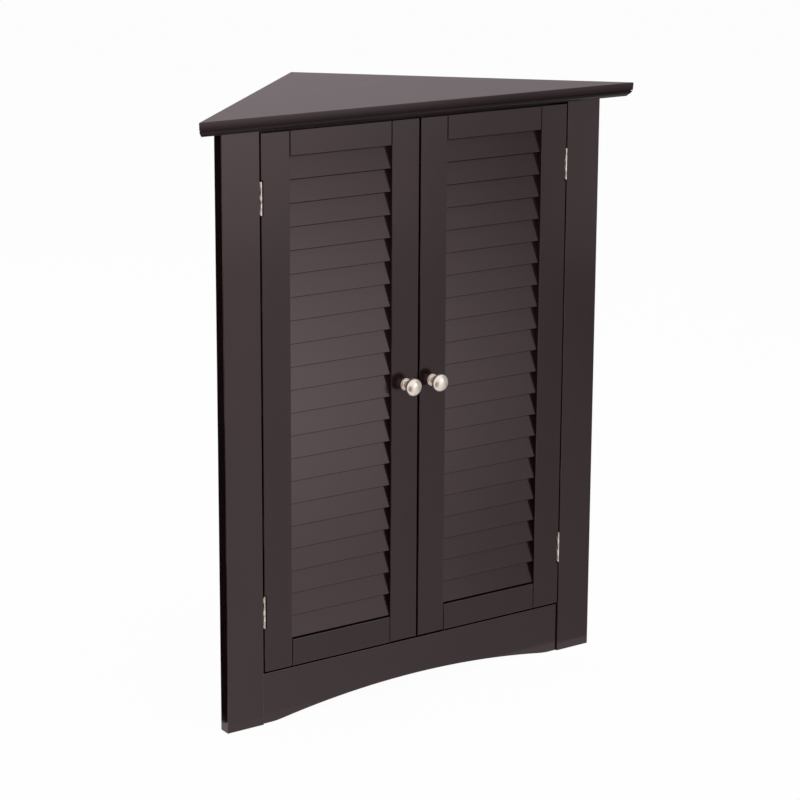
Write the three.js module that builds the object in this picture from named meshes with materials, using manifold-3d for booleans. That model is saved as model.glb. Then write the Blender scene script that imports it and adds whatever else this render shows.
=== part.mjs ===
// Corner cupboard with two louvred doors, in millimetres, +Z up and the front facing -Y.
// The plan is a right-angled triangle: the two back edges stand against the walls of a room's corner.
import * as THREE from "three";
import { mergeVertices } from "three/addons/utils/BufferGeometryUtils.js";
import Module from "manifold-3d";

const wasm = await Module();
wasm.setup();

// Overall sizes
const height = 813;
const faceWidth = 598;
const topFrontOverhang = 20;
const topWallOverhang = 3;

// Boards
const topThickness = 19;
const panelThickness = 15;
const stileThickness = 18;
const stileWidth = 54.8;
const arris = 0.8;
const fineArris = 0.6;
const seat = 0.3;

// Moulded front edge of the top board, from the top down
const nosingRadius = 1;
const nosingHeight = 10.4;
const nosingLean = 0.5;
const quirkDepth = 2.4;
const quirkHeight = 1.2;
const bandSetback = 0.6;
const bandDepth = 6.2;
const bandHeight = 6.8;
const bandSwell = 0.3;

// Apron between the face stiles
const apronHeight = 70;
const apronThickness = 15;
const apronRecess = 3;
const archFootWidth = 21.2;
const archRise = 18.6;
const archEase = 9;

// Inside of the cupboard
const bottomThickness = 15;
const bottomCornerCut = 1.2;
const bottomStopRise = 9.3;
const shelfThickness = 15;
const shelfHeight = 418;
const shelfSetback = 16;
const shelfSideGap = 2.2;
const shelfCornerCut = 24;
const stopRailHeight = 38;
const stopRailThickness = 15;
const stopGap = 0.8;

// Shelf pins
const pinRadius = 2.5;
const pinLength = 16;
const pinInserted = 8;
const pinCollarRadius = 4;
const pinCollarThickness = 1.5;
const pinBoreClearance = 0.3;
const frontPinFromFace = 75;
const rearPinFromCorner = 96;

// Doors
const doorThickness = 20;
const doorSideGap = 2;
const doorMeetingGap = 3;
const doorTopGap = 4.8;
const doorBottomGap = 3.4;
const doorArris = 0.7;
const doorStileWidth = 42.3;
const topRailHeight = 32.6;
const bottomRailHeight = 36.8;
const railSeam = 1.1;
const tenonLength = 9;
const tenonThickness = 7;
const tenonShoulder = 5;

// Fixed slats
const slatCount = 21;
const slatWidth = 34;
const slatThickness = 4.5;
const slatEdgeRadius = 0.7;
const slatTilt = THREE.MathUtils.degToRad(14.5);
const slatSetback = 2.4;
const slatFootGap = 1.6;
const slatHousing = 3;
const slatRoot = 2;

// Butt hinges
const hingeLength = 42.5;
const hingeKnuckles = 5;
const knuckleRadius = 1.5;
const knuckleGap = 0.5;
const hingePinRadius = 0.7;
const hingePinClearance = 0.2;
const hingePinHead = 1.2;
const hingePinHeadHeight = 0.5;
const leafThickness = 1;
const leafReach = 16.5;
const leafStart = 2;
const pinAxisFromStile = 1.9;
const pinAxisProud = 0.5;
const hingeInset = 83;
const notchDepth = 5;
const notchWidth = 3.2;
const notchEndRoom = 2.2;
const notchRadius = 2.4;

// Knobs
const knobFromEdge = 20;
const knobBaseRadius = 8.2;
const knobBaseThickness = 1.6;
const knobFootHeight = 5;
const knobNeckRadius = 4;
const knobNeckHeight = 12.5;
const knobHeadRadius = 12.3;
const knobRimHeight = 18;
const knobRimThickness = 1.8;
const knobLength = 26.5;

// Magnetic catches
const catchWidth = 40;
const catchHeight = 12;
const catchDepth = 14;
const catchHousingWidth = 27;
const catchEarThickness = 3;
const catchNoseWidth = 24;
const catchNoseHeight = 6;
const catchNoseDepth = 2;
const catchFromCentre = 4;
const strikeWidth = 30;
const strikeHeight = 10;
const strikeThickness = 1;
const strikeArris = 0.25;
const strikeDimple = 2;

// Cuts run this far past the piece that they cut.
const overrun = 4;

// Facets: steps of an eased edge, a small curve, turned pieces and the arch.
const arrisSteps = 2;
const curveSteps = 5;
const turnedSteps = 24;
const smallTurnedSteps = 12;
const archSteps = 12;

// Places that follow from the sizes above
const bodyHeight = height - topThickness;
const cornerReach = faceWidth / 2 + stileThickness;
const innerReach = cornerReach - panelThickness * Math.SQRT2;
const topReach = cornerReach + topWallOverhang * Math.SQRT2;
const stileInnerEdge = faceWidth / 2 - stileWidth;
const doorWidth = stileInnerEdge - doorSideGap - doorMeetingGap / 2;
const doorBottom = apronHeight + doorBottomGap;
const doorTop = bodyHeight - doorTopGap;
const louvreBottom = doorBottom + bottomRailHeight;
const louvreTop = doorTop - topRailHeight;
const slatPitch = (louvreTop - louvreBottom - slatFootGap) / slatCount;
const stopFace = doorThickness + stopGap;
const bottomTop = doorBottom + bottomStopRise;
const hingeAxisX = stileInnerEdge - pinAxisFromStile;
const hingeHeights = [doorTop - hingeInset, doorBottom + hingeInset];
const centreDepth = (topReach - knobLength) / 2;

const paint = { color: 0x3b2e2d, roughness: 0.45, metalness: 0 };
const nickel = { color: 0xb8b0a6, roughness: 0.3, metalness: 1 };
const zincPlate = { color: 0xa9adb0, roughness: 0.4, metalness: 1 };
const catchPlastic = { color: 0x2b211f, roughness: 0.6, metalness: 0 };

function mesh(name, geometry, finish) {
  const piece = new THREE.Mesh(geometry, new THREE.MeshStandardMaterial(finish));
  piece.name = name;
  return piece;
}

// A closed three.js geometry as a solid that can be joined and cut.
function solid(geometry) {
  const bare = geometry.clone();
  bare.deleteAttribute("normal");
  bare.deleteAttribute("uv");
  const merged = mergeVertices(bare, 1e-4);
  return new wasm.Manifold(
    new wasm.Mesh({
      numProp: 3,
      vertProperties: merged.attributes.position.array,
      triVerts: new Uint32Array(merged.index.array),
    }),
  );
}

function geometryOf(shape) {
  const { vertProperties, triVerts } = shape.getMesh();
  const geometry = new THREE.BufferGeometry();
  geometry.setAttribute("position", new THREE.BufferAttribute(vertProperties, 3));
  geometry.setIndex(new THREE.BufferAttribute(triVerts, 1));
  return geometry;
}

function box(width, depth, tall, x, y, z) {
  return new THREE.BoxGeometry(width, depth, tall).translate(x, y, z);
}

function polygon(points) {
  return new THREE.Shape(points.map(([x, y]) => new THREE.Vector2(x, y)));
}

// A rectangle about the origin with rounded corners.
function roundedRectangle(width, tall, radius) {
  const x = width / 2;
  const y = tall / 2;
  const shape = new THREE.Shape();
  shape.moveTo(x, y - radius);
  shape.absarc(x - radius, y - radius, radius, 0, Math.PI / 2);
  shape.absarc(-x + radius, y - radius, radius, Math.PI / 2, Math.PI);
  shape.absarc(-x + radius, -y + radius, radius, Math.PI, 1.5 * Math.PI);
  shape.absarc(x - radius, -y + radius, radius, 1.5 * Math.PI, 2 * Math.PI);
  return shape;
}

// A board cut to an outline, lying flat from z = 0 up, with the edges of both faces eased.
function flatBoard(outline, thickness, ease, curveSegments = curveSteps) {
  const extrusion = new THREE.ExtrudeGeometry(outline, {
    depth: thickness - 2 * ease,
    bevelThickness: ease,
    bevelSize: ease,
    bevelOffset: -ease,
    bevelSegments: arrisSteps,
    curveSegments,
  });
  return extrusion.translate(0, 0, ease);
}

// The same board stood up, its outline in X and Z, its front at y = 0 and its back at y = thickness.
function uprightBoard(outline, thickness, ease, curveSegments) {
  return flatBoard(outline, thickness, ease, curveSegments)
    .rotateX(Math.PI / 2)
    .translate(0, thickness, 0);
}

// An upright rectangular board from (x0, z0) to (x1, z1).
function uprightPlank(x0, x1, z0, z1, thickness, ease) {
  return uprightBoard(polygon([[x0, z0], [x1, z0], [x1, z1], [x0, z1]]), thickness, ease);
}

// A straight extrusion of a section given in Y and Z, from x = 0 along +X.
function alongX(section, length, curveSegments) {
  const turn = new THREE.Matrix4().makeBasis(
    new THREE.Vector3(0, 1, 0),
    new THREE.Vector3(0, 0, 1),
    new THREE.Vector3(1, 0, 0),
  );
  const extrusion = new THREE.ExtrudeGeometry(section, {
    depth: length,
    bevelEnabled: false,
    curveSegments,
  });
  return extrusion.applyMatrix4(turn);
}

// A turned piece on the Z axis from a profile of [radius, z] pairs.
function turned(profile, steps) {
  const points = profile.map(([radius, z]) => new THREE.Vector2(radius, z));
  return new THREE.LatheGeometry(points, steps).rotateX(Math.PI / 2);
}

// The moulded edge in [setback from the outermost line, height] pairs, from the underside up:
// a gently swelling slanted band, a narrow quirk that reads as a dark line, and a square nosing.
function edgeProfile() {
  const quirkTop = height - nosingHeight;
  const bandTop = quirkTop - quirkHeight;
  const bandFoot = bandTop - bandHeight;
  const points = [[bandDepth, height - topThickness]];
  for (let i = 0; i <= curveSteps; i += 1) {
    const along = i / curveSteps;
    const swell = bandSwell * Math.sin(Math.PI * along);
    points.push([bandDepth + (bandSetback - bandDepth) * along - swell, bandFoot + bandHeight * along - swell]);
  }
  points.push([quirkDepth, bandTop], [quirkDepth, quirkTop], [nosingLean, quirkTop]);
  for (let i = 0; i <= curveSteps; i += 1) {
    const turn = ((i / curveSteps) * Math.PI) / 2;
    const setback = nosingRadius * (1 - Math.cos(turn));
    points.push([setback, height - nosingRadius * (1 - Math.sin(turn))]);
  }
  return points;
}

// Top board: a right-angled triangle with sharp tips, moulded along its front edge only.
function topBoard() {
  const front = -topFrontOverhang;
  const wide = topReach - front + overrun;
  const section = edgeProfile().map(([setback, z]) => [front + setback, z]);
  section.push([topReach + overrun, height], [topReach + overrun, height - topThickness]);
  const frontRun = alongX(polygon(section), 2 * wide, curveSteps).translate(-wide, 0, 0);
  const plan = polygon([[-wide, front - overrun], [wide, front - overrun], [0, topReach]]);
  const slab = flatBoard(plan, topThickness, fineArris).translate(0, 0, height - topThickness);
  return mesh("top_board", geometryOf(solid(slab).intersect(solid(frontRun))), paint);
}

// Plan of a wall-side panel. Its front end is cut square to the room to sit behind the face stile.
// The left panel runs through to the corner and the right one butts against its inner face.
function sidePanel(name, side) {
  const front = stileThickness + seat;
  const cornerInset = (cornerReach - innerReach) / 2;
  const butt = side < 0 ? 0 : 2 * cornerInset + seat * Math.SQRT2;
  const along = (reach, shift) => [side * (reach - shift), shift];
  const outerEnd = side < 0 ? [0, cornerReach] : [butt / 2, cornerReach - butt / 2];
  const innerEnd =
    side < 0 ? [cornerInset, cornerReach - cornerInset] : [seat / Math.SQRT2, innerReach - seat / Math.SQRT2];
  const plan = polygon([along(cornerReach, front), outerEnd, innerEnd, along(innerReach, front)]);
  let panel = solid(flatBoard(plan, bodyHeight - seat, fineArris));
  for (const place of shelfPinPlaces(side)) panel = panel.subtract(shelfPinBore(side, place));
  return mesh(name, geometryOf(panel), paint);
}

// Face stile, floor to top board, with its outer edge showing past the side panel.
function faceStile(name, side) {
  const outer = faceWidth / 2;
  const plank = uprightPlank(-stileWidth / 2, stileWidth / 2, 0, bodyHeight - seat, stileThickness, arris);
  const piece = mesh(name, plank, paint);
  piece.position.x = side * (outer - stileWidth / 2);
  return piece;
}

// Apron with a shallow arch between two feet, set back a little behind the face.
function apron() {
  const half = stileInnerEdge - seat;
  const span = stileInnerEdge - archFootWidth;
  const radius = (span ** 2 + archRise ** 2) / (2 * archRise);
  const centre = archRise - radius;
  const start = span - archEase;
  const startHeight = centre + Math.sqrt(radius ** 2 - start ** 2);
  const angle = Math.atan2(startHeight - centre, start);
  const outline = new THREE.Shape();
  outline.moveTo(-half, 0);
  outline.lineTo(-span - archEase, 0);
  outline.quadraticCurveTo(-span, 0, -start, startHeight);
  outline.absarc(0, centre, radius, Math.PI - angle, angle, true);
  outline.quadraticCurveTo(span, 0, span + archEase, 0);
  outline.lineTo(half, 0);
  outline.lineTo(half, apronHeight);
  outline.lineTo(-half, apronHeight);
  const board = uprightBoard(outline, apronThickness, fineArris, archSteps);
  const piece = mesh("apron", board, paint);
  piece.position.y = apronRecess;
  return piece;
}

// A board that fills the triangle between the side panels, behind a straight front edge.
function cornerPlan(front, sideGap, cornerCut) {
  const reach = innerReach - sideGap * Math.SQRT2;
  return polygon([
    [front - reach, front],
    [reach - front, front],
    [cornerCut, reach - cornerCut],
    [-cornerCut, reach - cornerCut],
  ]);
}

function bottomBoard() {
  const plan = cornerPlan(stopFace, seat, bottomCornerCut);
  const piece = mesh("bottom_board", flatBoard(plan, bottomThickness, fineArris), paint);
  piece.position.z = bottomTop - bottomThickness;
  return piece;
}

function shelf() {
  const plan = cornerPlan(stopFace + shelfSetback, shelfSideGap, shelfCornerCut);
  const piece = mesh("shelf", flatBoard(plan, shelfThickness, arris), paint);
  piece.position.z = shelfHeight;
  return piece;
}

// Rail under the top board that the doors close against, mitred to both side panels.
function stopRail() {
  const reach = innerReach - seat * Math.SQRT2;
  const back = stopFace + stopRailThickness;
  const plan = polygon([
    [stopFace - reach, stopFace],
    [reach - stopFace, stopFace],
    [reach - back, back],
    [back - reach, back],
  ]);
  const piece = mesh("door_stop_rail", flatBoard(plan, stopRailHeight, fineArris), paint);
  piece.position.z = bodyHeight - seat - stopRailHeight;
  return piece;
}

// Where the shelf pins stand on a panel's inner face: [x, y] of the point on that face.
function shelfPinPlaces(side) {
  const front = frontPinFromFace;
  const rear = innerReach - rearPinFromCorner;
  return [front, rear].map((y) => [side * (innerReach - y), y]);
}

// Turns a piece on the Z axis so that +Z points square out of a panel's inner face, into the room.
function ontoPanel(geometry, side, [x, y]) {
  return geometry
    .rotateY(Math.PI / 2)
    .rotateZ(side < 0 ? -Math.PI / 4 : -0.75 * Math.PI)
    .translate(x, y, shelfHeight - seat - pinRadius);
}

function shelfPinBore(side, place) {
  const radius = pinRadius + pinBoreClearance;
  const deep = pinInserted + pinBoreClearance;
  const bore = new THREE.CylinderGeometry(radius, radius, deep + overrun, smallTurnedSteps);
  return solid(ontoPanel(bore.rotateX(Math.PI / 2).translate(0, 0, (overrun - deep) / 2), side, place));
}

// Shelf pin: a plain peg with a collar that stops against the panel.
function shelfPin(name, side, place) {
  const collarFoot = pinBoreClearance;
  const collarTop = collarFoot + pinCollarThickness;
  const profile = [
    [0, -pinInserted],
    [pinRadius, -pinInserted],
    [pinRadius, collarFoot],
    [pinCollarRadius, collarFoot],
    [pinCollarRadius, collarTop],
    [pinRadius, collarTop],
    [pinRadius, pinLength - pinInserted],
    [0, pinLength - pinInserted],
  ];
  return mesh(name, ontoPanel(turned(profile, smallTurnedSteps), side, place), nickel);
}

// One fixed slat about its middle, tilted with its upper edge towards the back.
function slat(length, grow) {
  const section = roundedRectangle(slatThickness + 2 * grow, slatWidth + 2 * grow, slatEdgeRadius);
  return alongX(section, length, arrisSteps).translate(-length / 2, 0, 0).rotateX(-slatTilt);
}

// Height and depth of the middle of slat i, its lower front edge on the line that shows.
function slatMiddle(i) {
  const lowerEdge = louvreTop - (i + 1) * slatPitch;
  const acrossTilt = (slatThickness * Math.cos(slatTilt) + slatWidth * Math.sin(slatTilt)) / 2;
  const upTilt = (slatWidth * Math.cos(slatTilt) - slatThickness * Math.sin(slatTilt)) / 2;
  return { y: slatSetback + acrossTilt, z: lowerEdge + upTilt };
}

// A door's pieces are placed in the door's own frame, on the hinge axis at floor height.
// u runs from the door's hinged edge to its free edge.
function doorPlaces(side) {
  const inward = -side;
  const edge = doorSideGap - pinAxisFromStile;
  return {
    inward,
    x: (u) => inward * (u + edge),
    front: pinAxisProud,
    louvreStart: doorStileWidth,
    louvreEnd: doorWidth - doorStileWidth,
  };
}

// A door's board from u0 to u1, in the door's frame.
function doorPlank(places, u0, u1, z0, z1) {
  const ends = [places.x(u0), places.x(u1)].sort((a, b) => a - b);
  return uprightPlank(...ends, z0, z1, doorThickness, doorArris).translate(0, places.front, 0);
}

// Slats from u0 to u1, grown all round by a clearance where they cut their housings.
function slatRow(places, u0, u1, grow, rows) {
  const middle = places.x((u0 + u1) / 2);
  return rows.map((i) => {
    const { y, z } = slatMiddle(i);
    return solid(slat(u1 - u0, grow).translate(middle, places.front + y, z));
  });
}

function tenonBlock(places, u, rail, grow) {
  const tall = rail.tall - 2 * tenonShoulder + 2 * grow;
  const thick = tenonThickness + 2 * grow;
  const long = 2 * (tenonLength + grow);
  const y = places.front + doorThickness / 2;
  return solid(box(long, thick, tall, places.x(u), y, rail.foot + rail.tall / 2));
}

const allSlats = Array.from({ length: slatCount }, (_, i) => i);
const topRail = { foot: louvreTop, tall: topRailHeight, nearestSlat: 0 };
const bottomRail = { foot: doorBottom, tall: bottomRailHeight, nearestSlat: slatCount - 1 };

// The notch in the door's hinged edge: a round-cornered relief for the knuckles and a bed for the leaf.
function hingeNotch(places, z) {
  const tall = hingeLength + 2 * notchEndRoom;
  const wide = 2 * notchWidth;
  const relief = new THREE.ExtrudeGeometry(roundedRectangle(wide, tall, notchRadius), {
    depth: notchDepth + overrun,
    bevelEnabled: false,
    curveSegments: arrisSteps * 2,
  });
  relief.rotateX(Math.PI / 2).translate(places.x(0), places.front + notchDepth, z);
  const bedDepth = leafThickness + 2 * seat;
  const bed = box(2 * bedDepth, doorThickness + 2 * overrun, tall, places.x(0), places.front, z);
  bed.translate(0, doorThickness / 2, 0);
  return solid(relief).add(solid(bed));
}

// Hinge stile: housed for the slats' ends and the rails' tenons, and notched for two hinges.
function hingeStile(name, places) {
  let stile = solid(doorPlank(places, 0, doorStileWidth, doorBottom, doorTop));
  const housingFoot = places.louvreStart - slatHousing;
  for (const cut of slatRow(places, housingFoot, places.louvreStart + overrun, seat, allSlats)) {
    stile = stile.subtract(cut);
  }
  for (const rail of [topRail, bottomRail]) {
    stile = stile.subtract(tenonBlock(places, places.louvreStart, rail, seat));
  }
  for (const z of hingeHeights) stile = stile.subtract(hingeNotch(places, z));
  return mesh(name, geometryOf(stile), paint);
}

// Knob stile, with the row of slats that it carries. Their far ends lie in the hinge stile's housings.
function knobStile(name, places) {
  let stile = solid(doorPlank(places, places.louvreEnd, doorWidth, doorBottom, doorTop));
  for (const rail of [topRail, bottomRail]) {
    stile = stile.subtract(tenonBlock(places, places.louvreEnd, rail, seat));
  }
  const slatEnd = places.louvreStart - slatHousing + seat;
  for (const each of slatRow(places, slatEnd, places.louvreEnd + slatRoot, 0, allSlats)) {
    stile = stile.add(each);
  }
  return mesh(name, geometryOf(stile), paint);
}

// Rail with a stub tenon at each end and a groove where the nearest slat tucks in.
function doorRail(name, places, rail) {
  const start = places.louvreStart + railSeam;
  const end = places.louvreEnd - railSeam;
  let piece = solid(doorPlank(places, start, end, rail.foot, rail.foot + rail.tall));
  for (const u of [start, end]) piece = piece.add(tenonBlock(places, u, rail, 0));
  const shoulders = [places.louvreStart - overrun, places.louvreEnd + overrun];
  for (const cut of slatRow(places, ...shoulders, seat, [rail.nearestSlat])) piece = piece.subtract(cut);
  return mesh(name, geometryOf(piece), paint);
}

// Knob turned in one piece: a thin base, a hollow foot, a neck and a mushroom head with a low dome.
function knob(name, places) {
  const base = seat;
  const footTop = base + knobFootHeight;
  const profile = [
    [0, base],
    [knobBaseRadius, base],
    [knobBaseRadius, base + knobBaseThickness],
  ];
  for (let i = 1; i <= curveSteps; i += 1) {
    const turn = ((i / curveSteps) * Math.PI) / 2;
    const radius = knobBaseRadius - (knobBaseRadius - knobNeckRadius) * Math.sin(turn);
    const rise = (footTop - base - knobBaseThickness) * (1 - Math.cos(turn));
    profile.push([radius, base + knobBaseThickness + rise]);
  }
  for (let i = 0; i <= curveSteps; i += 1) {
    const turn = ((i / curveSteps) * Math.PI) / 2;
    const radius = knobNeckRadius + (knobHeadRadius - knobNeckRadius) * (1 - Math.cos(turn));
    profile.push([radius, knobNeckHeight + (knobRimHeight - knobNeckHeight) * Math.sin(turn)]);
  }
  const domeFoot = knobRimHeight + knobRimThickness;
  for (let i = 0; i <= curveSteps; i += 1) {
    const turn = ((i / curveSteps) * Math.PI) / 2;
    const radius = knobHeadRadius * Math.cos(turn);
    profile.push([radius, domeFoot + (knobLength - domeFoot) * Math.sin(turn)]);
  }
  const piece = mesh(name, turned(profile, turnedSteps).rotateX(Math.PI / 2), nickel);
  const middle = (louvreBottom + louvreTop) / 2;
  piece.position.set(places.x(doorWidth - knobFromEdge), places.front, middle);
  return piece;
}

// Spans of a hinge's knuckles from its middle: every other one belongs to the same leaf.
function knuckleSpans(first) {
  const pitch = hingeLength / hingeKnuckles;
  const spans = [];
  for (let i = first; i < hingeKnuckles; i += 2) {
    const foot = -hingeLength / 2 + i * pitch;
    spans.push({ middle: foot + pitch / 2, tall: pitch - knuckleGap });
  }
  return spans;
}

// A hinge leaf on the Z axis, its plate running back along +Y at x from the axis.
function hingeLeaf(x, first) {
  const plateDepth = leafReach - leafStart;
  const plate = box(leafThickness, plateDepth, hingeLength, x, leafStart + plateDepth / 2, 0);
  let leaf = solid(plate);
  for (const { middle, tall } of knuckleSpans(first)) {
    const barrel = new THREE.CylinderGeometry(knuckleRadius, knuckleRadius, tall, smallTurnedSteps);
    barrel.rotateX(Math.PI / 2).translate(0, 0, middle);
    const neckDepth = leafStart + leafThickness;
    const neck = box(leafThickness, neckDepth, tall, x, neckDepth / 2, middle);
    leaf = leaf.add(solid(barrel)).add(solid(neck));
  }
  const boreRadius = hingePinRadius + hingePinClearance;
  const bore = new THREE.CylinderGeometry(boreRadius, boreRadius, hingeLength + overrun, smallTurnedSteps);
  return leaf.subtract(solid(bore.rotateX(Math.PI / 2)));
}

// The frame's leaf lies on the face stile's edge and the door's leaf in the bed of the notch.
function frameLeaf(name, side) {
  const x = side * (pinAxisFromStile - seat - leafThickness / 2);
  return mesh(name, geometryOf(hingeLeaf(x, 0)), nickel);
}

function doorLeaf(name, places) {
  const x = places.x(seat + leafThickness / 2);
  return mesh(name, geometryOf(hingeLeaf(x, 1)), nickel);
}

// Hinge pin with a small round head at both ends of the knuckles.
function hingePin(name) {
  const end = hingeLength / 2 + knuckleGap;
  const cap = end + hingePinHeadHeight;
  const profile = [
    [0, -cap],
    [hingePinHead, -cap],
    [hingePinHead, -end],
    [hingePinRadius, -end],
    [hingePinRadius, end],
    [hingePinHead, end],
    [hingePinHead, cap],
    [0, cap],
  ];
  return mesh(name, turned(profile, smallTurnedSteps), nickel);
}

// Magnetic catch under the stop rail: a housing with two thin ears, its nose facing the door.
function magneticCatch(name, side) {
  const front = stopFace + strikeThickness;
  const middle = bodyHeight - 2 * seat - stopRailHeight - catchHeight / 2;
  const bodyDepth = catchDepth - catchNoseDepth;
  const bodyMiddle = catchNoseDepth + bodyDepth / 2;
  const earMiddle = (catchHeight - catchEarThickness) / 2;
  const housing = box(catchHousingWidth, bodyDepth, catchHeight, 0, bodyMiddle, 0);
  const ears = box(catchWidth, bodyDepth, catchEarThickness, 0, bodyMiddle, earMiddle);
  const nose = box(catchNoseWidth, catchDepth, catchNoseHeight, 0, catchDepth / 2, 0);
  const shape = solid(housing).add(solid(ears)).add(solid(nose));
  const piece = mesh(name, geometryOf(shape), catchPlastic);
  piece.position.set(side * (catchFromCentre + catchWidth / 2), front, middle);
  return piece;
}

// Steel strike plate on the back of the knob stile, with a dimple for its screw.
function strikePlate(name, places, side) {
  const tall = bodyHeight - 2 * seat - stopRailHeight - catchHeight / 2;
  const plate = uprightPlank(
    -strikeWidth / 2,
    strikeWidth / 2,
    -strikeHeight / 2,
    strikeHeight / 2,
    strikeThickness,
    strikeArris,
  );
  const dimple = new THREE.CylinderGeometry(strikeDimple, strikeDimple, strikeThickness, smallTurnedSteps);
  dimple.translate(0, strikeThickness, 0);
  const piece = mesh(name, geometryOf(solid(plate).subtract(solid(dimple))), zincPlate);
  const x = side * (catchFromCentre + catchWidth / 2 - hingeAxisX);
  piece.position.set(x, places.front + doorThickness + seat, tall);
  return piece;
}

// One door on its hinge axis, with everything that swings with it.
function door(label, side) {
  const places = doorPlaces(side);
  const group = new THREE.Group();
  group.position.set(side * hingeAxisX, -pinAxisProud, 0);
  group.add(hingeStile(label + "_door_hinge_stile", places));
  group.add(knobStile(label + "_door_knob_stile_and_slats", places));
  group.add(doorRail(label + "_door_top_rail", places, topRail));
  group.add(doorRail(label + "_door_bottom_rail", places, bottomRail));
  group.add(knob(label + "_knob", places));
  group.add(strikePlate(label + "_strike_plate", places, side));
  for (const [place, z] of [["upper", hingeHeights[0]], ["lower", hingeHeights[1]]]) {
    const leaf = doorLeaf(label + "_" + place + "_hinge_door_leaf", places);
    leaf.position.z = z;
    group.add(leaf);
  }
  return group;
}

// The hinge pieces that stay with the face stile.
function frameHinges(label, side) {
  const group = new THREE.Group();
  group.position.set(side * hingeAxisX, -pinAxisProud, 0);
  for (const [place, z] of [["upper", hingeHeights[0]], ["lower", hingeHeights[1]]]) {
    const leaf = frameLeaf(label + "_" + place + "_hinge_frame_leaf", side);
    const pin = hingePin(label + "_" + place + "_hinge_pin");
    leaf.position.z = z;
    pin.position.z = z;
    group.add(leaf, pin);
  }
  return group;
}

function shelfPins(label, side) {
  const places = shelfPinPlaces(side);
  return ["front", "rear"].map((end, i) => shelfPin(label + "_" + end + "_shelf_pin", side, places[i]));
}

function cupboard() {
  const group = new THREE.Group();
  group.add(topBoard(), apron(), bottomBoard(), shelf(), stopRail());
  for (const [label, side] of [["left", -1], ["right", 1]]) {
    group.add(sidePanel(label + "_side_panel", side));
    group.add(faceStile(label + "_face_stile", side));
    group.add(...shelfPins(label, side));
    group.add(magneticCatch(label + "_magnetic_catch", side));
    group.add(frameHinges(label, side));
    group.add(door(label, side));
  }
  group.position.y = -centreDepth;
  return group;
}

export default cupboard();
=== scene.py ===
import math

import bmesh
import bpy
from mathutils import Matrix, Vector
from mathutils.geometry import tessellate_polygon


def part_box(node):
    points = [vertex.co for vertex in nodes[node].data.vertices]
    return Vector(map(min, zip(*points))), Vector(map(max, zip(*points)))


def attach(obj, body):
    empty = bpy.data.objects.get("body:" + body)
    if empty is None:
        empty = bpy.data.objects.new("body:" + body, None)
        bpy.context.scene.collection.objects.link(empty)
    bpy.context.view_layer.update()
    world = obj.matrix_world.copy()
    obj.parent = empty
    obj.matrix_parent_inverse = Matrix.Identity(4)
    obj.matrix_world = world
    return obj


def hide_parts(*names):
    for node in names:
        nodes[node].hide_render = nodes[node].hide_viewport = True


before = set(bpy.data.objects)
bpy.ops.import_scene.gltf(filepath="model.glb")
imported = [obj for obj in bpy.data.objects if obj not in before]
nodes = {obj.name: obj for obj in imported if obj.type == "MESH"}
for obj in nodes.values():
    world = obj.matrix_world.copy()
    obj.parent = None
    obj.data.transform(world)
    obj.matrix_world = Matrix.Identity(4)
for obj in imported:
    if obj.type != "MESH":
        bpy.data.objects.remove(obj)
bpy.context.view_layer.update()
studio = bpy.context.scene

# Camera: about three metres off, to the left of the front and a little above the top board. Its
# long lens is held almost level, so that the uprights stay nearly parallel, and looks down by lens
# shift.
camera_azimuth = math.radians(-34.20)
camera_elevation = math.radians(13.03)
camera_roll = math.radians(0.292)
camera_distance = 3.2303
camera_aside = Vector((-0.0247, 0.1301))
camera_target = Vector((0, -0.1474, 0.4065))
backwards = Vector(
    (
        math.sin(camera_azimuth) * math.cos(camera_elevation),
        -math.cos(camera_azimuth) * math.cos(camera_elevation),
        math.sin(camera_elevation),
    )
)
level = Vector((math.cos(camera_azimuth), math.sin(camera_azimuth), 0))
rise = backwards.cross(level)
across = level * math.cos(camera_roll) + rise * math.sin(camera_roll)
upwards = rise * math.cos(camera_roll) - level * math.sin(camera_roll)
camera_place = camera_target + backwards * camera_distance
camera_place += across * camera_aside.x + upwards * camera_aside.y
camera_data = bpy.data.cameras.new("camera")
camera_data.lens = 108.6
camera_data.sensor_width = 36
camera_data.shift_y = -0.12
camera = bpy.data.objects.new("camera", camera_data)
camera.matrix_world = Matrix.LocRotScale(
    camera_place, Matrix((across, upwards, backwards)).transposed().to_quaternion(), None
)
studio.collection.objects.link(camera)
studio.camera = camera


# Side panels: two 15 mm boards of MDF that stand against the walls of the corner. All the woodwork
# is sprayed with the same espresso brown satin lacquer, flatted down and rubbed a little thin on
# its arrises.
class Wire:
    """A shader socket that takes part in sums: each operation adds its Math node."""

    def __init__(self, tree, socket):
        self.tree = tree
        self.socket = socket

    def sum(self, operation, first, second=0.0):
        return self.tree.add("Math", {"operation": operation}, {0: first, 1: second})

    def __add__(self, other):
        return self.sum("ADD", self, other)

    def __sub__(self, other):
        return self.sum("SUBTRACT", self, other)

    def __rsub__(self, other):
        return self.sum("SUBTRACT", other, self)

    def __mul__(self, other):
        return self.sum("MULTIPLY", self, other)

    def __abs__(self):
        return self.sum("ABSOLUTE", self)

    __radd__ = __add__
    __rmul__ = __mul__


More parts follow.
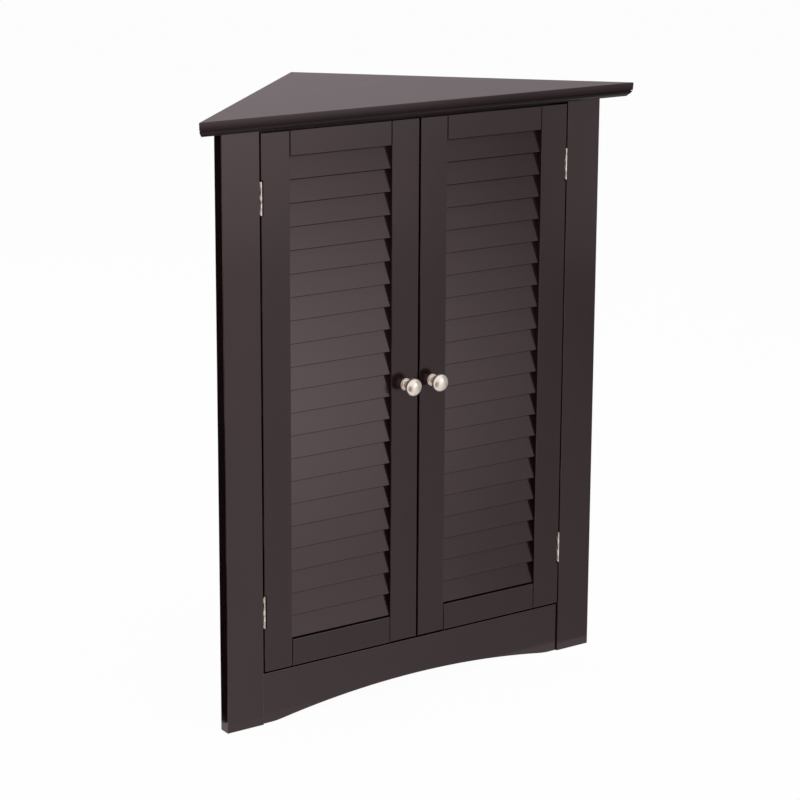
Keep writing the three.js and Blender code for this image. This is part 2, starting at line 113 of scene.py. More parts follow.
class Tree:
    """The shader nodes of one material or of the world."""

    def __init__(self, owner):
        owner.use_nodes = True
        self.owner = owner
        self.inner = owner.node_tree
        self.inner.nodes.clear()

    def add(self, kind, settings, sockets, output=0):
        """A node of any kind: its settings, the values or links of its sockets, and an output."""
        node = self.inner.nodes.new("ShaderNode" + kind)
        for name, value in settings.items():
            setattr(node, name, value)
        for key, value in sockets.items():
            if isinstance(value, Wire):
                self.inner.links.new(value.socket, node.inputs[key])
            else:
                node.inputs[key].default_value = value
        return Wire(self, node.outputs[output] if len(node.outputs) else None)

    def colours(self, factor, first, second):
        """A mix of two colours, which the node takes at sockets 6 and 7 and gives at output 2."""
        return self.add("Mix", {"data_type": "RGBA"}, {0: factor, 6: first, 7: second}, 2)

    def vectors(self, operation, first, second, output=0):
        return self.add("VectorMath", {"operation": operation}, {0: first, 1: second}, output)

    def axes(self, vector):
        """The X, Y and Z of a vector."""
        outputs = self.add("SeparateXYZ", {}, {0: vector}).socket.node.outputs
        return {axis: Wire(self, outputs[axis]) for axis in "XYZ"}

    def ramp(self, value, low, high):
        """0 below low, 1 above high, and a smooth step between them."""
        steps = {"interpolation_type": "SMOOTHSTEP"}
        return self.add("MapRange", steps, {0: value, 1: low, 2: high})

    def noise(self, points, scale, detail):
        return self.add("TexNoise", {}, {"Vector": points, "Scale": scale, "Detail": detail})

    def bumps(self, height, strength, depth):
        return self.add("Bump", {}, {"Strength": strength, "Distance": depth, "Height": height})

    def out(self, surface, kind="OutputMaterial"):
        """Gives the finished surface to the owner of the tree, and returns the owner."""
        self.add(kind, {}, {"Surface": surface})
        return self.owner


espresso_deep = (0.0095, 0.0043, 0.0046, 1)
espresso_light = (0.0140, 0.0066, 0.0070, 1)
espresso_rubbed = (0.060, 0.036, 0.031, 1)
lacquer_sheen = (1.0, 0.785, 0.81, 1)
lacquer_roughness = 0.11
carcass_gloss = 0.59
tone_range = (0.3, 0.7)
cloud_scale = 5.0
speckle_scale = 60.0
peel_scale = 420.0
wear_scale = 26.0
wear_range = (0.45, 0.70)
wear_roughness = 0.1
peel_share = 0.6
peel_strength = 0.1
peel_depth = 0.0003


def lacquer(
    name,
    moved,
    grain,
    arrises,
    gloss=carcass_gloss,
    painted_shade_gloss=0.0,
    painted_shade_span=(),
    painted_shade_under=(),
):
    """Satin lacquer. moved shifts its pattern, grain stretches the marks of the sanding, and
    arrises lists the pairs of axes between which the piece's rounded edges turn. The gloss can fall
    to painted_shade_gloss between two heights, painted_shade_span, or where the faces turn down
    past
    painted_shade_under: painted shade, a lower sheen that darkens these faces as shade would."""
    tree = Tree(bpy.data.materials.new(name))
    place = tree.add("TexCoord", {}, {}, "Object")
    facing = tree.add("TexCoord", {}, {}, "Normal")
    points = tree.vectors("ADD", place, moved)
    cloud = tree.noise(points, cloud_scale, 2.0)
    speckle = tree.noise(points, speckle_scale, 3.0)
    peel = tree.noise(points, peel_scale, 1.0)
    sanding = tree.noise(tree.vectors("MULTIPLY", points, grain), 1.0, 3.0)
    tone = cloud * 0.6 + speckle * 0.25 + sanding * 0.15
    colour = tree.colours(tree.ramp(tone, *tone_range), espresso_deep, espresso_light)
    rough = lacquer_roughness + cloud * 0.05 + sanding * 0.05 + speckle * 0.03
    if arrises:
        sides = {axis: abs(part) for axis, part in tree.axes(facing).items()}
        edge = sum(sides[first] * sides[second] * 2.0 for first, second in arrises)
        worn = edge * tree.ramp(tree.noise(points, wear_scale, 4.0), *wear_range)
        colour = tree.colours(worn, colour, espresso_rubbed)
        rough = rough + worn * wear_roughness
    relief = tree.bumps(
        peel * peel_share + sanding * (1.0 - peel_share), peel_strength, peel_depth
    )

    def coat(level):
        return tree.add(
            "BsdfPrincipled",
            {},
            {
                "Base Color": colour,
                "Roughness": rough,
                "Specular IOR Level": level,
                "Specular Tint": lacquer_sheen,
                "Normal": relief,
            },
        )

    surface = coat(gloss)
    # painted shade: a coat with a lower sheen is mixed in between two heights or on faces turning
    # down
    for source, span in ((place, painted_shade_span), (facing, painted_shade_under)):
        if span:
            full = tree.ramp(tree.axes(source)["Z"], *span)
            surface = tree.add("MixShader", {}, {0: full, 1: coat(painted_shade_gloss), 2: surface})
    return tree.out(surface)


def dress(material, *names):
    for name in names:
        nodes[name].data.materials.clear()
        nodes[name].data.materials.append(material)


sanded_upright = (420.0, 420.0, 14.0)
sanded_across = (14.0, 420.0, 420.0)
every_arris = ["XY", "YZ", "XZ"]
dress(lacquer("left_panel_lacquer", (0.3, 0.1, 0.7), sanded_upright, []), "left_side_panel")
dress(lacquer("right_panel_lacquer", (1.3, 0.4, 0.2), sanded_upright, []), "right_side_panel")

# Face stiles: two 18 mm uprights glued to the front ends of the side panels. They run from the
# floor to the top board and carry the hinges on their inner edges.
dress(
    lacquer("left_stile_lacquer", (2.1, 0.9, 0.4), sanded_upright, every_arris), "left_face_stile"
)
dress(
    lacquer("right_stile_lacquer", (2.7, 0.3, 1.4), sanded_upright, every_arris),
    "right_face_stile",
)

# Apron: a 15 mm board dowelled between the stiles a little behind their faces, its lower edge sawn
# to a shallow arch that leaves a foot at each end.
dress(lacquer("apron_lacquer", (0.7, 3.3, 1.1), sanded_across, ["YZ"]), "apron")

# Bottom board, shelf and stop rail: MDF boards that fill the triangle behind the doors. The bottom
# board and the rail are screwed to the panels, and the doors close against their front edges.
dress(
    lacquer("inner_board_lacquer", (3.7, 1.3, 1.9), sanded_across, ["YZ"]),
    "bottom_board",
    "shelf",
    "door_stop_rail",
)

# Shelf pins: turned steel pegs with a collar, nickel plated and pushed into bores in the side
# panels. The shelf lies loose on the four of them.
patch_scale = 140.0
patch_range = (0.35, 0.65)
patch_roughness = 0.08
scratch_roughness = 0.06
scratch_strength = 0.05
scratch_depth = 0.0001


def plated(name, light, dark, rough, scratch):
    """Plated metal with dull patches, and fine scratches that scratch stretches."""
    tree = Tree(bpy.data.materials.new(name))
    points = tree.add("TexCoord", {}, {}, "Object")
    patches = tree.noise(points, patch_scale, 3.0)
    marks = tree.noise(tree.vectors("MULTIPLY", points, scratch), 1.0, 2.0)
    metal = {
        "Base Color": tree.colours(tree.ramp(patches, *patch_range), light, dark),
        "Metallic": 1.0,
        "Roughness": rough + patches * patch_roughness + marks * scratch_roughness,
        "Normal": tree.bumps(marks, scratch_strength, scratch_depth),
    }
    return tree.out(tree.add("BsdfPrincipled", {}, metal))


def revolve(form, profile, steps, place, closed=False):
    """Turns [radius, height] pairs about the Z axis of place. A closed profile makes a ring."""
    rings = []
    for radius, height in profile:
        turns = range(steps if radius else 1)
        angles = [math.tau * i / steps for i in turns]
        spots = [Vector((radius * math.cos(a), radius * math.sin(a), height)) for a in angles]
        rings.append([form.verts.new(place @ spot) for spot in spots])
    pairs = list(zip(rings, rings[1:]))
    if closed:
        pairs.append((rings[-1], rings[0]))
    for lower, upper in pairs:
        for i in range(steps):
            here = lower[i % len(lower)], lower[(i + 1) % len(lower)]
            above = upper[(i + 1) % len(upper)], upper[i % len(upper)]
            form.faces.new(dict.fromkeys(here + above))


def finish(name, form, material, body, slot, *stood_for):
    """Makes the form a piece that rides on a body, and that may stand for CAD nodes."""
    bmesh.ops.recalc_face_normals(form, faces=form.faces)
    mesh = bpy.data.meshes.new(name)
    form.to_mesh(mesh)
    form.free()
    mesh.materials.append(material)
    mesh.polygons.foreach_set("use_smooth", [True] * len(mesh.polygons))
    mesh.set_sharp_from_angle(angle=sharp_angle)
    piece = bpy.data.objects.new(name, mesh)
    studio.collection.objects.link(piece)
    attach(piece, body)
    if stood_for:
        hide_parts(*stood_for)


def middle(node):
    """The middle of a CAD node's box."""
    low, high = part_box(node)
    return (Vector(low) + Vector(high)) / 2


def pointed(place, direction):
    """The matrix that puts a piece at a place with its Z axis along a direction."""
    return Matrix.LocRotScale(place, Vector(direction).to_track_quat("Z", "Y"), None)


sharp_angle = math.radians(32)
pin_length = 0.016
pin_radius = 0.0025
pin_rounding = 0.0006
pin_steps = 28
collar_radius = 0.004
collar_foot = 0.0003
collar_top = 0.0018
pin_nickel = plated(
    "shelf_pin_nickel",
    light=(0.56, 0.52, 0.47, 1),
    dark=(0.42, 0.39, 0.35, 1),
    rough=0.3,
    scratch=(700.0, 700.0, 90.0),
)
pin_profile = [
    (0, -pin_length / 2),
    (pin_radius - pin_rounding, -pin_length / 2),
    (pin_radius, pin_rounding - pin_length / 2),
    (pin_radius, collar_foot),
    (collar_radius, collar_foot),
    (collar_radius, collar_top - pin_rounding / 2),
    (collar_radius - pin_rounding / 2, collar_top),
    (pin_radius, collar_top),
    (pin_radius, pin_length / 2 - pin_rounding),
    (pin_radius - pin_rounding, pin_length / 2),
    (0, pin_length / 2),
]
for side, inward in (("left", (1, -1, 0)), ("right", (-1, -1, 0))):
    for end in ("front", "rear"):
        node = side + "_" + end + "_shelf_pin"
        form = bmesh.new()
        revolve(form, pin_profile, pin_steps, pointed(middle(node), inward))
        finish(node + "_turned", form, pin_nickel, "cabinet", "satin_nickel", node)

# Top board: a triangle of 19 mm MDF with sharp tips, screwed down on the carcase from inside. A
# slanted band and a narrow quirk are moulded under the nosing of its front edge. Below the foot of
# the nosing the lacquer's sheen is lowered, and it rises again up the nosing to the top face:
# painted shade under the nosing.
top_gloss = 0.50
# painted shade: the lower sheen under the nosing
nosing_painted_shade_gloss = 0.14
nosing_foot = 0.802
top_face = 0.8128
dress(
    lacquer(
        "top_lacquer",
        (4.2, 0.2, 0.9),
        sanded_across,
        [],
        gloss=top_gloss,
        painted_shade_gloss=nosing_painted_shade_gloss,
        painted_shade_span=(nosing_foot, top_face),
    ),
    "top_board",
)


# Magnetic catches: a moulded housing with two ears, screwed up under the stop rail. A magnet lies
# between two steel pole plates that stand a little out of its nose.
def prism(form, outline, thickness, ease, place):
    """A plate cut to an outline in X and Y, from z = 0 up, with all its edges eased."""
    plate = bmesh.new()
    foot = plate.faces.new([plate.verts.new((x, y, 0)) for x, y in outline])
    lifted = bmesh.ops.extrude_face_region(plate, geom=[foot])["geom"]
    top = [part for part in lifted if isinstance(part, bmesh.types.BMVert)]
    bmesh.ops.translate(plate, verts=top, vec=(0, 0, thickness))
    bmesh.ops.recalc_face_normals(plate, faces=plate.faces)
    bmesh.ops.bevel(
        plate, geom=plate.edges[:], offset=ease, segments=2, profile=0.5, affect="EDGES"
    )
    plate.transform(place)
    made = bpy.data.meshes.new("plate")
    plate.to_mesh(made)
    plate.free()
    form.from_mesh(made)
    bpy.data.meshes.remove(made)


def block(form, low, high, ease):
    """A plain block between two corners, with its edges eased."""
    size = Vector(high) - Vector(low)
    centre = (Vector(high) + Vector(low)) / 2
    outline = [
        (x * size.x / 2, y * size.y / 2) for x, y in ((-1, -1), (1, -1), (1, 1), (-1, 1))
    ]
    prism(form, outline, size.z, ease, Matrix.Translation((centre.x, centre.y, low[2])))


screw_steps = 24
screw_crown_share = 0.62
screw_shoulder_share = 0.86
screw_shoulder_height_share = 0.78
screw_edge_share = 0.3
recess_reach_share = 0.46
recess_half_width_share = 0.13
recess_floor_share = 0.15
weld_distance = 1e-7


def screw_head(form, place, radius, height):
    """A domed screw head with a cross recess, on the XY plane of place."""
    edge = screw_edge_share * height
    shoulder_radius = screw_shoulder_share * radius
    shoulder_height = screw_shoulder_height_share * height
    rim = [(0, -edge), (radius, -edge), (radius, edge), (shoulder_radius, shoulder_height)]
    revolve(form, rim, screw_steps, place)
    arm = recess_reach_share * radius
    half = recess_half_width_share * radius
    cross = [
        Vector(corner)
        for x, y in ((1, 0), (0, 1), (-1, 0), (0, -1))
        for corner in (
            (arm * x + half * y, arm * y - half * x),
            (arm * x - half * y, arm * y + half * x),
            (half * (x - y), half * (x + y)),
        )
    ]

    def circle(radius):
        angles = [math.tau * i / screw_steps for i in range(screw_steps)]
        return [Vector((radius * math.cos(a), radius * math.sin(a))) for a in angles]

    def spots(outline, height):
        return [form.verts.new(place @ Vector((x, y, height))) for x, y in outline]

    def wall(foot, head):
        for i, corner in enumerate(foot):
            after = (i + 1) % len(foot)
            form.faces.new((corner, foot[after], head[after], head[i]))

    crown_outline = circle(screw_crown_share * radius)
    shoulder = spots(circle(shoulder_radius), shoulder_height)
    crown = spots(crown_outline, height)
    mouth = spots(cross, height)
    floor = spots(cross, recess_floor_share * height)
    wall(shoulder, crown)
    wall(floor, mouth)
    form.faces.new(floor)
    around = crown + mouth
    outlines = [[spot.to_3d() for spot in outline] for outline in (crown_outline, cross)]
    for corners in tessellate_polygon(outlines):
        form.faces.new([around[i] for i in corners])
    bmesh.ops.remove_doubles(form, verts=form.verts[:], dist=weld_distance)


handled_scale = 90.0
handled_range = (0.3, 0.7)
handled_roughness = 0.14
pebble_scale = 2600.0
pebble_strength = 0.25
pebble_depth = 0.0001
plastic_roughness = 0.42


def moulded(name, deep, light):
    """Moulded plastic with a fine texture and duller patches where it has been handled."""
    tree = Tree(bpy.data.materials.new(name))
    points = tree.add("TexCoord", {}, {}, "Object")
    patches = tree.noise(points, handled_scale, 2.0)
    pebble = tree.noise(points, pebble_scale, 2.0)
    plastic = {
        "Base Color": tree.colours(tree.ramp(patches, *handled_range), deep, light),
        "Roughness": plastic_roughness + patches * handled_roughness,
        "Normal": tree.bumps(pebble, pebble_strength, pebble_depth),
    }
    return tree.out(tree.add("BsdfPrincipled", {}, plastic))


catch_plastic = moulded(
    "catch_brown_plastic", deep=(0.020, 0.011, 0.009, 1), light=(0.032, 0.019, 0.016, 1)
)
pole_steel = plated(
    "pole_plate_steel",
    light=(0.50, 0.50, 0.49, 1),
    dark=(0.36, 0.36, 0.35, 1),
    rough=0.34,
    scratch=(300.0, 60.0, 2000.0),
)
screw_zinc = plated(
    "screw_zinc",
    light=(0.62, 0.63, 0.64, 1),
    dark=(0.44, 0.45, 0.46, 1),
    rough=0.28,
    scratch=(900.0, 900.0, 900.0),
)
housing_width = 0.027
ear_thickness = 0.003
magnet_thickness = 0.0038
pole_thickness = 0.0014
pole_reach = 0.002
pole_half_width = housing_width * 0.44
catch_ease = 0.0004
ear_screw_radius = 0.0027
ear_screw_height = 0.0011
for side in ("left", "right"):
    node = side + "_magnetic_catch"
    low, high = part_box(node)
    centre = middle(node)
    housing_front = low[1] + pole_reach
    form = bmesh.new()
    block(
        form,
        (centre.x - housing_width / 2, housing_front, low[2]),
        (centre.x + housing_width / 2, high[1], high[2]),
        catch_ease,
    )
    block(
        form,
        (low[0], housing_front + catch_ease, high[2] - ear_thickness),
        (high[0], high[1] - catch_ease, high[2]),
        catch_ease,
    )
    finish(node + "_housing", form, catch_plastic, "cabinet", "catch_plastic", node)
    form = bmesh.new()
    for pole in (-1, 1):
        height = centre.z + pole * (magnet_thickness + pole_thickness) / 2
        block(
            form,
            (centre.x - pole_half_width, low[1], height - pole_thickness / 2),
            (centre.x + pole_half_width, centre.y, height + pole_thickness / 2),
            catch_ease / 2,
        )
    finish(node + "_pole_plates", form, pole_steel, "cabinet", "zinc_plate")
    form = bmesh.new()
    ear_middle = (high[0] - low[0] + housing_width) / 4
    for end in (-1, 1):
        spot = Vector((centre.x + end * ear_middle, centre.y, high[2] - ear_thickness))
        screw_head(form, pointed(spot, (0, 0, -1)), ear_screw_radius, ear_screw_height)
    finish(node + "_screws", form, screw_zinc, "cabinet", "zinc_plate")

# Hinges: pressed steel butts, nickel plated, their leaves rolled into five knuckles round a pin
# with domed ends. One leaf is screwed to the stile's edge and the other in a notch of the door's
# edge.
hinge_nickel = plated(
    "hinge_nickel",
    light=(0.95, 0.89, 0.83, 1),
    dark=(0.55, 0.47, 0.40, 1),
    rough=0.22,
    scratch=(900.0, 900.0, 120.0),
)
knuckle_count = 5
knuckle_radius = 0.0011
knuckle_gap = 0.0008
knuckle_ease = 0.0002
knuckle_steps = 32
pin_shank = 0.0006
bore_radius = 0.00075
cap_radius = 0.00105
cap_height = 0.0005
cap_flat_share = 0.6
cap_dome = 0.0001
cap_steps = 24
leaf_thickness = 0.001
leaf_start = 0.002
leaf_ease = 0.00015
leaf_corner = 0.0016
corner_steps = 5
frame_leaf_offset = 0.0011
door_leaf_offset = 0.0009
hinge_screw_radius = 0.0026
hinge_screw_height = 0.00034
screw_spread_share = 0.31


def rounded(width, tall, radius):
    """A rectangle about the origin, with its corners rounded."""
    outline = []
    for i, (x, y) in enumerate(((1, 1), (-1, 1), (-1, -1), (1, -1))):
        corner = Vector((x * (width / 2 - radius), y * (tall / 2 - radius)))
        for step in range(corner_steps + 1):
            turn = math.radians(90 * (i + step / corner_steps))
            outline.append(corner + Vector((math.cos(turn), math.sin(turn))) * radius)
    return outline


def hinge_leaf(name, axis, length, depth, offset, facing, first, body, node):
    """One leaf: its plate at an offset in X from the pin's axis, and every other knuckle."""
    form = bmesh.new()
    pitch = length / knuckle_count
    half = (pitch - knuckle_gap) / 2
    for i in range(first, knuckle_count, 2):
        spot = axis + Vector((0, 0, (i + 0.5) * pitch - length / 2))
        ring = [
            (bore_radius, -half),
            (knuckle_radius - knuckle_ease, -half),
            (knuckle_radius, knuckle_ease - half),
            (knuckle_radius, half - knuckle_ease),
            (knuckle_radius - knuckle_ease, half),
            (bore_radius, half),
        ]
        revolve(form, ring, knuckle_steps, Matrix.Translation(spot), closed=True)
        low = spot + Vector((offset - leaf_thickness / 2, bore_radius, -half))
        high = spot + Vector((offset + leaf_thickness / 2, leaf_start + leaf_corner, half))
        block(form, low, high, leaf_ease)
    width = depth - leaf_start
    centre = axis + Vector((offset - leaf_thickness / 2, leaf_start + width / 2, 0))
    turn = Matrix(((0, 0, 1), (1, 0, 0), (0, 1, 0))).to_4x4()
    plate = Matrix.Translation(centre) @ turn
    prism(form, rounded(width, length, leaf_corner), leaf_thickness, leaf_ease, plate)
    finish(name, form, hinge_nickel, body, "satin_nickel", node)
    form = bmesh.new()
    face = offset + facing * leaf_thickness / 2
    for end in (-1, 1):
        spot = axis + Vector((face, leaf_start + width / 2, end * screw_spread_share * length))
        place = pointed(spot, (facing, 0, 0))
        screw_head(form, place, hinge_screw_radius, hinge_screw_height)
    finish(name + "_screws", form, screw_zinc, body, "zinc_plate")


def hinge_pin(name, axis, half, node):
    """A pin with a small domed head at both ends of the knuckles."""
    head = half - cap_height
    cap_flat = cap_flat_share * cap_radius
    profile = [
        (0, -half),
        (cap_flat, cap_dome - half),
        (cap_radius, -head),
        (pin_shank, -head),
        (pin_shank, head),
        (cap_radius, head),
        (cap_flat, half - cap_dome),
        (0, half),
    ]
    form = bmesh.new()
    revolve(form, profile, cap_steps, Matrix.Translation(axis))
    finish(name, form, hinge_nickel, "cabinet", "satin_nickel", node)


for side, outward in (("left", -1), ("right", 1)):
    for level_name in ("upper", "lower"):
        hinge = side + "_" + level_name + "_hinge"
        axis = middle(hinge + "_pin")
        pin_low, pin_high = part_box(hinge + "_pin")
        leaf_low, leaf_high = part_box(hinge + "_frame_leaf")
        length = leaf_high[2] - leaf_low[2] + knuckle_gap
        depth = leaf_high[1] - axis.y
        hinge_pin(hinge + "_domed_pin", axis, (pin_high[2] - pin_low[2]) / 2, hinge + "_pin")
        for leaf, towards, offset, first, body in (
            ("frame", outward, frame_leaf_offset, 0, "cabinet"),
            ("door", -outward, door_leaf_offset, 1, side + "_door"),
        ):
            hinge_leaf(
                hinge + "_" + leaf + "_leaf_pressed",
                axis,
                length,
                depth,
                towards * offset,
                -towards,
                first,
                body,
                hinge + "_" + leaf + "_leaf",
            )

# Door stiles and slats: 20 mm stiles with 21 fixed slats let into them, each tilted with its upper
# edge to the back. Where the slats' lower edges turn down, their sheen is lowered: painted shade
# between one slat and the next.
door_gloss = 0.52
# painted shade: the sheen drops where a slat's face turns down past these shares of its normal
slat_underside_painted_shade = (-0.12, -0.01)
for side, shift in (("left", 0.0), ("right", 1.7)):
    dress(
        lacquer(
            side + "_hinge_stile_lacquer",
            (5.1, shift, 0.8),
            sanded_upright,
            every_arris,
            door_gloss,
        ),
        side + "_door_hinge_stile",
    )
    dress(
        lacquer(
            side + "_slat_lacquer",
            (5.9, shift, 0.1),
            sanded_across,
            ["XY"],
            door_gloss,
            painted_shade_under=slat_underside_painted_shade,
        ),
        side + "_door_knob_stile_and_slats",
    )

# Door rails: the top and bottom rails are stub-tenoned between the stiles, and grooved where the
# nearest slat tucks in.
for side, shift in (("left", 0.0), ("right", 1.7)):
    dress(
        lacquer(side + "_rail_lacquer", (6.4, shift, 0.3), sanded_across, every_arris, door_gloss),
        side + "_door_top_rail",
        side + "_door_bottom_rail",
    )

# Strike plates: zinc-plated steel plates on the backs of the knob stiles, each held by one screw in
# a dimple, where the magnets catch them.
strike_zinc = plated(
    "strike_plate_zinc",
    light=(0.60, 0.61, 0.63, 1),
    dark=(0.42, 0.43, 0.45, 1),
    rough=0.3,
    scratch=(60.0, 900.0, 900.0),
)
strike_screw_radius = 0.0019
strike_screw_height = 0.0004
for side in ("left", "right"):
    node = side + "_strike_plate"
    dress(strike_zinc, node)
    form = bmesh.new()
    place = pointed(middle(node), (0, 1, 0))
    screw_head(form, place, strike_screw_radius, strike_screw_height)
    finish(node + "_screw", form, screw_zinc, side + "_door", "zinc_plate")


# Knobs: turned in one piece and plated in satin nickel, with a rolled rim and a hollow round the
# foot, a slim neck and a mushroom head. A pan-head screw through the stile holds each from behind.
def curve(start, bend, end, steps):
    """Points of a quadratic curve after its start."""
    points = []
    for i in range(1, steps + 1):
        t = i / steps
        points.append(
            tuple(
                a * (1 - t) ** 2 + 2 * b * t * (1 - t) + c * t**2
                for a, b, c in zip(start, bend, end)
            )
        )
    return points


knob_nickel = plated(
    "knob_satin_nickel",
    light=(0.90, 0.80, 0.735, 1),
    dark=(0.84, 0.745, 0.68, 1),
    rough=0.26,
    scratch=(500.0, 500.0, 500.0),
)
knob_steps = 64
base_radius = 0.0082
rim_height = 0.0018
rim_roll = rim_height * 0.6
hollow_radius = 0.0060
hollow_height = 0.0005
neck_radius = 0.0036
neck_foot = 0.0042
neck_top = 0.0112
head_under = 0.0168
head_band = 0.0186
head_under_share = 0.8
dome_rim_share = 0.5
dome_shoulder_share = 0.29
dome_shoulder_radius_share = 0.7
dome_crown_radius_share = 0.4
knob_screw_radius = 0.004
knob_screw_height = 0.0022
for side in ("left", "right"):
    node = side + "_knob"
    low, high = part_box(node)
    centre = middle(node)
    head_radius = (high[0] - low[0]) / 2
    tall = high[1] - low[1]
    dome = tall - head_band
    under = (head_radius * head_under_share, head_under - rim_height / 2)
    shoulder = (head_radius * dome_shoulder_radius_share, tall - dome * dome_shoulder_share)
    profile = [(0, 0), (base_radius, 0), (base_radius, rim_roll)]
    for bend, end, steps in (
        ((base_radius, rim_height), (base_radius - rim_height / 2, rim_height), 4),
        ((hollow_radius + rim_height / 3, rim_height), (hollow_radius, hollow_height), 4),
        ((neck_radius + hollow_height / 2, hollow_height), (neck_radius, neck_foot), 6),
        ((neck_radius, neck_foot), (neck_radius, neck_top), 1),
        ((neck_radius, (neck_top + head_under) / 2), under, 8),
        ((head_radius, head_under), (head_radius, head_band), 6),
        ((head_radius, head_band + dome * dome_rim_share), shoulder, 8),
        ((head_radius * dome_crown_radius_share, tall), (0, tall), 8),
    ):
        profile += curve(profile[-1], bend, end, steps)
    form = bmesh.new()
    foot = Vector((centre.x, high[1], centre.z))
    revolve(form, profile, knob_steps, pointed(foot, (0, -1, 0)))
    finish(node + "_turned", form, knob_nickel, side + "_door", "satin_nickel", node)
    stile_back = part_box(side + "_door_knob_stile_and_slats")[1][1]
    form = bmesh.new()
    spot = Vector((centre.x, stile_back, centre.z))
    screw_head(form, pointed(spot, (0, 1, 0)), knob_screw_radius, knob_screw_height)
    finish(node + "_screw", form, screw_zinc, side + "_door", "zinc_plate")

# Studio floor and background: a sheet of white that also shows in the lacquer and the nickel, and
# that keeps a faint shadow where the cupboard stands.
floor_half = 12
floor_drop = 0.0004
floor_shown_share = 0.972
white = (1, 1, 1, 1)
matt_white = (0.9, 0.9, 0.9, 1)
world_light = 0.3


def seen(tree):
    """1 for the rays that show the background, 0 for those that light the object."""
    rays = tree.add("LightPath", {}, {}).socket.node.outputs
    straight = Wire(tree, rays["Is Camera Ray"])
    mirrored = Wire(tree, rays["Is Glossy Ray"])
    through = Wire(tree, rays["Is Transmission Ray"])
    return straight.sum("MAXIMUM", straight, straight.sum("MAXIMUM", mirrored, through))


floor_mesh = bpy.data.meshes.new("studio_floor")
form = bmesh.new()
bmesh.ops.create_grid(form, x_segments=1, y_segments=1, size=floor_half)
form.to_mesh(floor_mesh)
form.free()
floor = bpy.data.objects.new("studio_floor", floor_mesh)
floor.location.z = -floor_drop
studio.collection.objects.link(floor)
tree = Tree(bpy.data.materials.new("studio_floor_white"))
matt = tree.add("BsdfDiffuse", {}, {"Color": matt_white})
glow = tree.add("Emission", {}, {"Color": white, "Strength": 1.0})
shown_share = seen(tree) * floor_shown_share
floor_mesh.materials.append(
    tree.out(tree.add("MixShader", {}, {0: shown_share, 1: matt, 2: glow}))
)
tree.owner.cycles.emission_sampling = "NONE"

tree = Tree(bpy.data.worlds.new("studio"))
dim = tree.add("Background", {}, {"Color": white, "Strength": world_light})
bright = tree.add("Background", {}, {"Color": white, "Strength": 1.0})
sky = tree.add("MixShader", {}, {0: seen(tree), 1: dim, 2: bright})
studio.world = tree.out(sky, "OutputWorld")

# Studio lamps: large soft boxes that light the woodwork evenly from the front and from above, and
# one from behind. They don't show in the sheen, where two lamps of their own brighten the heads of
# the stiles.
lamp_aim = Vector((0, -0.1, 0.42))


def softbox(name, azimuth, elevation, distance, width, tall, radiance):
    """A soft lamp at an azimuth to the right of the cupboard's front, seen from where it aims."""
    a = math.radians(azimuth)
    e = math.radians(elevation)
    way = Vector((math.sin(a) * math.cos(e), -math.cos(a) * math.cos(e), math.sin(e)))
    data = bpy.data.lights.new(name, "AREA")
    data.shape = "RECTANGLE"
    data.size = width
    data.size_y = tall
    data.energy = radiance * width * tall * math.pi
    lamp = bpy.data.objects.new(name, data)
    lamp.location = lamp_aim + way * distance
    lamp.rotation_mode = "QUATERNION"
    lamp.rotation_quaternion = way.to_track_quat("Z", "Y")
    studio.collection.objects.link(lamp)
    return lamp


for lamp in (
    softbox("front_softbox", -6, 14, distance=2.2, width=1.6, tall=1.6, radiance=1.6),
    softbox("top_softbox", 0, 80, distance=2.6, width=2.4, tall=2.0, radiance=2.6),
    softbox("rear_softbox", 180, 30, distance=3.0, width=2.0, tall=1.6, radiance=1.6),
):
    lamp.visible_glossy = False
for lamp in (
    softbox("left_head_glow", 25.8, -2.2, distance=2.39, width=0.7, tall=0.3, radiance=0.6),
    softbox("right_head_glow", 45.8, -1.6, distance=2.44, width=0.4, tall=0.45, radiance=0.4),
):
    lamp.visible_diffuse = False


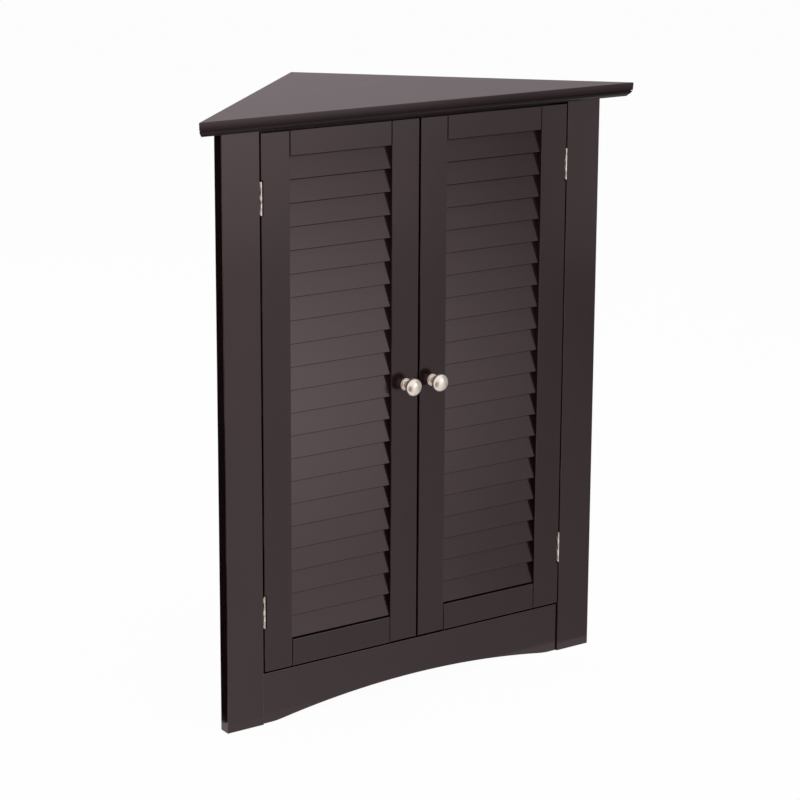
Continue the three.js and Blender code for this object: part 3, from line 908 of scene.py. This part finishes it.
# Studio cards: black and graded boards round the set that only the sheen sees. They keep the faces
# that look to the left dark, dim the reflections towards the right of the doors, and lay the soft
# highlight on the slats.
def card(name, corner, across, up, near, far, tint=(1, 1, 1), ends=1.0, crest=0.5):
    """A board along two sides from a corner. Its shade goes from near, at the corner, to far, and
    falls off to the share ends of that below and above its crest."""
    corner, across, up = Vector(corner), Vector(across), Vector(up)
    mesh = bpy.data.meshes.new(name)
    form = bmesh.new()
    spots = (corner, corner + across, corner + across + up, corner + up)
    form.faces.new([form.verts.new(spot) for spot in spots])
    form.to_mesh(mesh)
    form.free()
    square = across - across.project(up)
    square /= square.length_squared
    climb = up / up.length_squared
    tree = Tree(bpy.data.materials.new(name + "_paper"))
    place = tree.add("TexCoord", {}, {}, "Object")
    along = tree.vectors("DOT_PRODUCT", place, square, "Value") - corner.dot(square)
    height = tree.vectors("DOT_PRODUCT", place, climb, "Value") - corner.dot(climb)
    swell = tree.ramp(height, 0.0, crest) * (1.0 - tree.ramp(height, crest, 1.0))
    shade = (near + along * (far - near)) * (ends + swell * (1.0 - ends))
    glow = tree.add("VectorMath", {"operation": "SCALE"}, {0: tint, "Scale": shade})
    mesh.materials.append(tree.out(tree.add("Emission", {}, {"Color": glow, "Strength": 1.0})))
    tree.owner.cycles.emission_sampling = "NONE"
    board = bpy.data.objects.new(name, mesh)
    for kind in ("camera", "diffuse", "transmission", "volume_scatter", "shadow"):
        setattr(board, "visible_" + kind, False)
    studio.collection.objects.link(board)


left_floor_corner = (-0.31, -0.12, 0.003)
card("left_floor_card", left_floor_corner, (-1.6, 0, 0), (0, 1.5, 0), near=0.0, far=0.0)
card("left_back_card", (-1.69, 0.49, 0), (1.33, 0.9, 0), (0, 0, 1.4), near=0.0, far=0.0)
right_floor_corner = (-0.43, -0.165, 0.003)
card("right_floor_card", right_floor_corner, (1.9, 0, 0), (2.4, -3.7, 0), near=1.0, far=0.04)
card("right_card", (1.04, -2.43, 0), (1.342, 0.872, 0), (0, 0, 2.2), near=1.0, far=0.04)
card(
    "right_back_card",
    (-0.2, 1.85, 0.75),
    (1.9, -1.28, 0),
    (0, 0, 1.1),
    near=0.49,
    far=0.335,
    tint=(1, 0.87, 0.92),
)
card(
    "slat_board",
    (0.6, -1.94, 0.33),
    (1.05, 0, 0),
    (0, 0, 1.2),
    near=3.05,
    far=0.82,
    ends=0.52,
    crest=0.38,
)
card("right_side_card", (1.5, -1.1, 0), (0, 1.8, 0), (0, 0, 1.6), near=0.5, far=0.5)
front_left_corner = (-0.68, -0.70, 0.003)
front_left_side = (0.56, -0.27, 0)
for name, up, shade in (
    ("front_left_card", (0, 0, 0.5), 0.2),
    ("front_left_floor_card", (0.12, 0.30, 0), 0.25),
):
    card(name, front_left_corner, front_left_side, up, shade, shade, tint=(1, 0.62, 0.42))

studio.view_settings.view_transform = "Standard"
